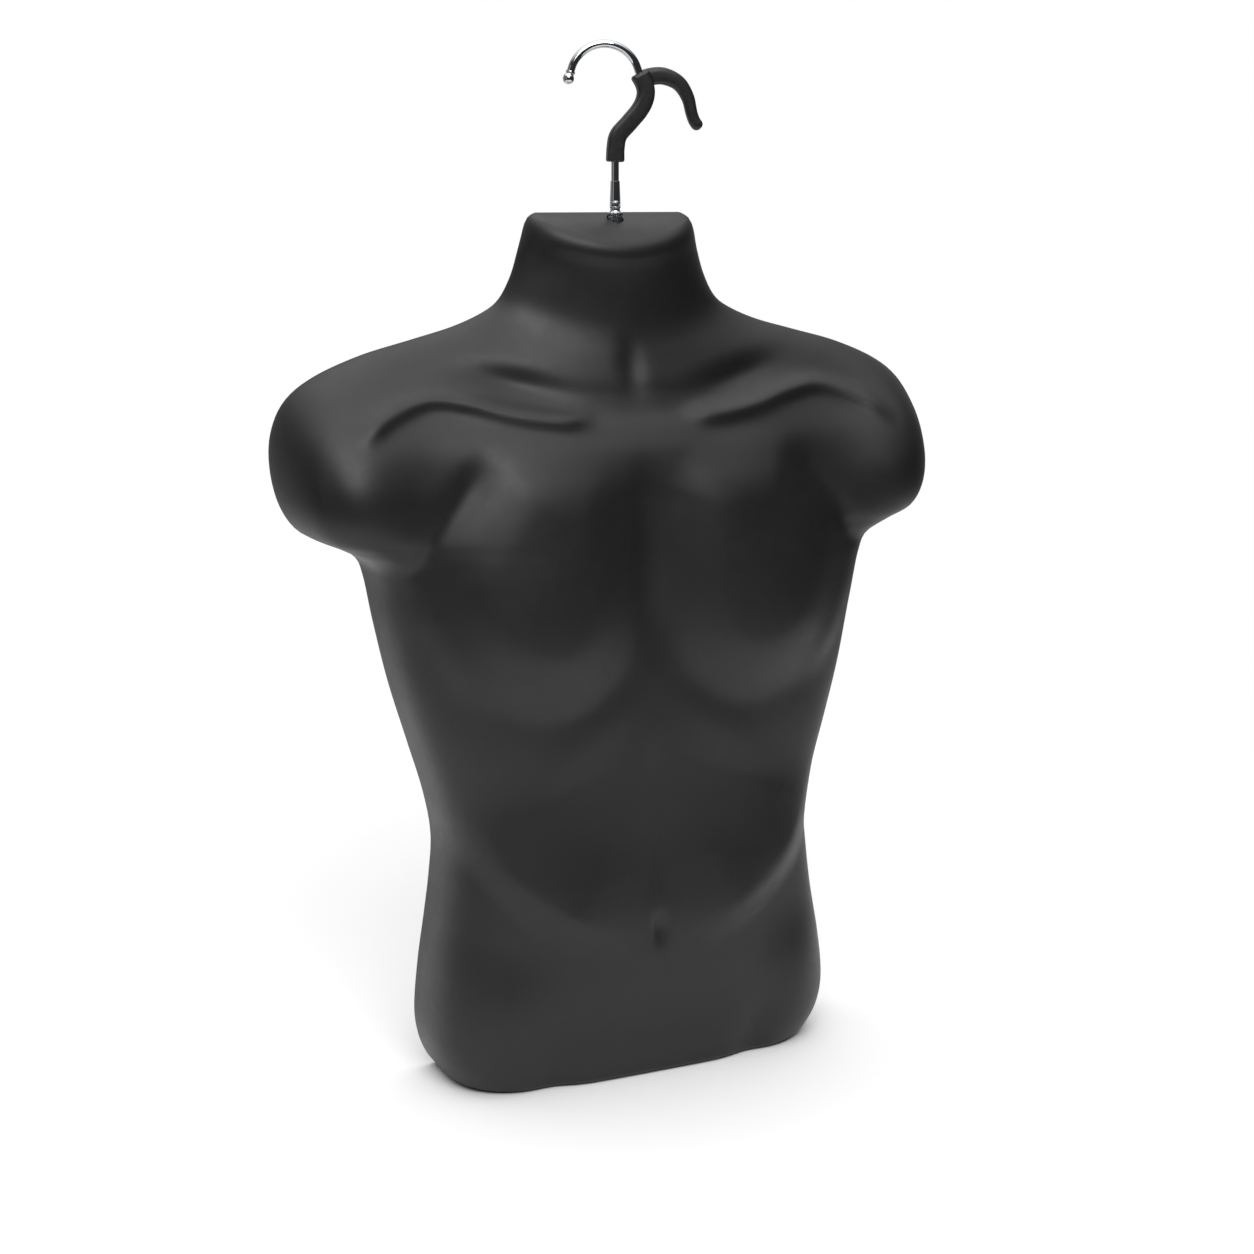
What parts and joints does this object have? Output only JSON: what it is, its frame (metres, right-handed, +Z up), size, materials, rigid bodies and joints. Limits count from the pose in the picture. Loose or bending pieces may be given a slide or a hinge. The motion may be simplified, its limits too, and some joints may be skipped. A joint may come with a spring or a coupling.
{
  "type": "hanging torso form",
  "caption": "Hollow-back moulded male torso display form hung from a swivelling chrome wire hook, with a black grip sleeve that carries a small side hook.",
  "frame": {"origin": "on the standing face, under the middle of the whole object's box", "axes": "+Z up, from the standing face to the hook; +Y towards the open back, so the chest faces -Y; +X towards the form's own left side"},
  "size_m": [0.509, 0.0996, 0.7488],
  "materials": {
    "charcoal_plastic": "fine-grained moulded charcoal black plastic with a low sheen",
    "black_grip": "smooth soft-touch black moulding with a satin sheen",
    "black_seal": "plain black washer rubber",
    "chrome": "bright chrome plate over steel",
    "zinc_steel": "zinc-plated steel"
  },
  "bodies": {
    "form": {"torso_shell": "charcoal_plastic", "neck_plate": "zinc_steel", "plate_screw_front_left": "zinc_steel", "plate_screw_front_right": "zinc_steel", "plate_screw_back_left": "zinc_steel", "plate_screw_back_right": "zinc_steel", "swivel_bush": "chrome", "neck_washer": "black_seal", "collar_ring": "chrome", "clamp_washer": "zinc_steel", "lock_washer": "zinc_steel", "clamp_nut": "zinc_steel"},
    "hook": {"hook_wire": "chrome", "tip_ball": "chrome", "stem_ferrule": "chrome", "upper_thrust_washer": "black_seal", "lower_thrust_washer": "black_seal", "stem_nut": "zinc_steel", "grip_front": "black_grip", "grip_rear": "black_grip"}
  },
  "joints": [
    {"name": "hook_swivel", "type": "hinge", "parent": "form", "child": "hook", "pos_m": [0, 0.0368, 0.63], "axis": [0, 0, 1], "continuous": true}
  ]
}
